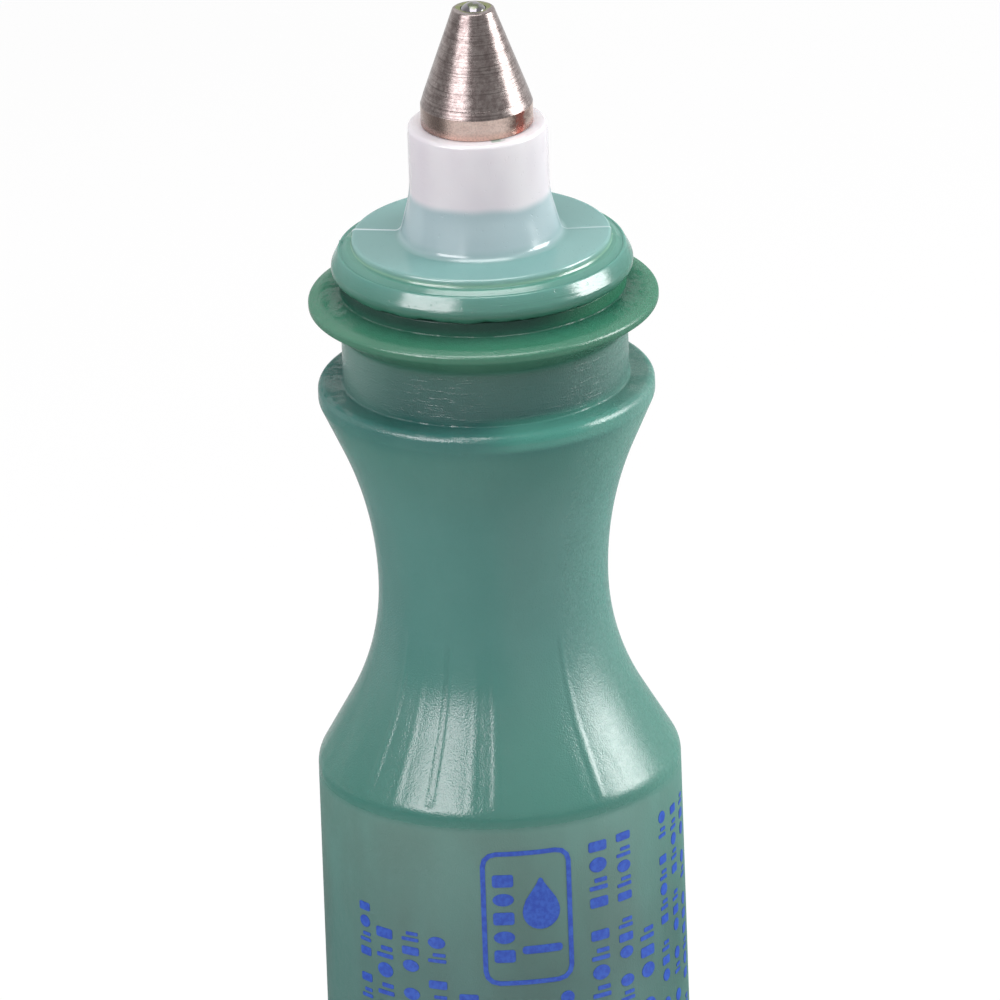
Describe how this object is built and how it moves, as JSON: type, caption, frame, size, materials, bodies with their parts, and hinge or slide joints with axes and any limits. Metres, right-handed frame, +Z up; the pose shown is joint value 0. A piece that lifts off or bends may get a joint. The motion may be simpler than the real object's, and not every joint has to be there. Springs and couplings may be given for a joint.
{
  "type": "paint marker",
  "caption": "Squeeze-bottle paint marker with a gripping waist, a pressed-in nozzle plug and a turned steel tip whose writing ball opens a sprung valve.",
  "frame": {"origin": "middle of the bottle's foot, on the surface it stands on", "axes": "+Z up along the bottle towards the writing ball, +X to the picture's right, -Y towards the viewer"},
  "size_m": [0.026, 0.026, 0.1501],
  "materials": {
    "bottle_plastic": "translucent blow-moulded polyethylene, satin, tinted by the paint behind it",
    "nozzle_plastic": "milky natural injection moulding with a soft gloss",
    "paint": "wet green paint",
    "ball_steel": "polished bearing ball",
    "turned_steel": "bright turned steel with fine turning lines",
    "follower_plastic": "plain white moulding",
    "spring_steel": "drawn stainless wire",
    "retainer_brass": "turned brass"
  },
  "bodies": {
    "barrel": {"bottle": "bottle_plastic", "nozzle_plug": "nozzle_plastic", "tip_body": "turned_steel", "spring_retainer": "retainer_brass", "valve_spring": "spring_steel", "paint_charge": "paint"},
    "follower": {"ball_follower": "follower_plastic"},
    "writing_ball": {"writing_ball": "ball_steel"},
    "mixing_ball": {"mixing_ball": "ball_steel"}
  },
  "joints": [
    {"name": "tip_press", "type": "slide", "parent": "barrel", "child": "follower", "axis": [0, 0, 1], "range_m": [-0.0004, 0], "stiffness_N_per_m": 300, "springref_m": 0.002, "deforming": ["valve_spring"]},
    {"name": "ball_roll", "type": "hinge", "parent": "follower", "child": "writing_ball", "pos_m": [0, 0, 0.14902], "axis": [1, 0, 0], "continuous": true},
    {"name": "mixing_ball_travel", "type": "slide", "parent": "barrel", "child": "mixing_ball", "axis": [0, 0, 1], "range_m": [0, 0.085], "deforming": ["paint_charge"]}
  ]
}
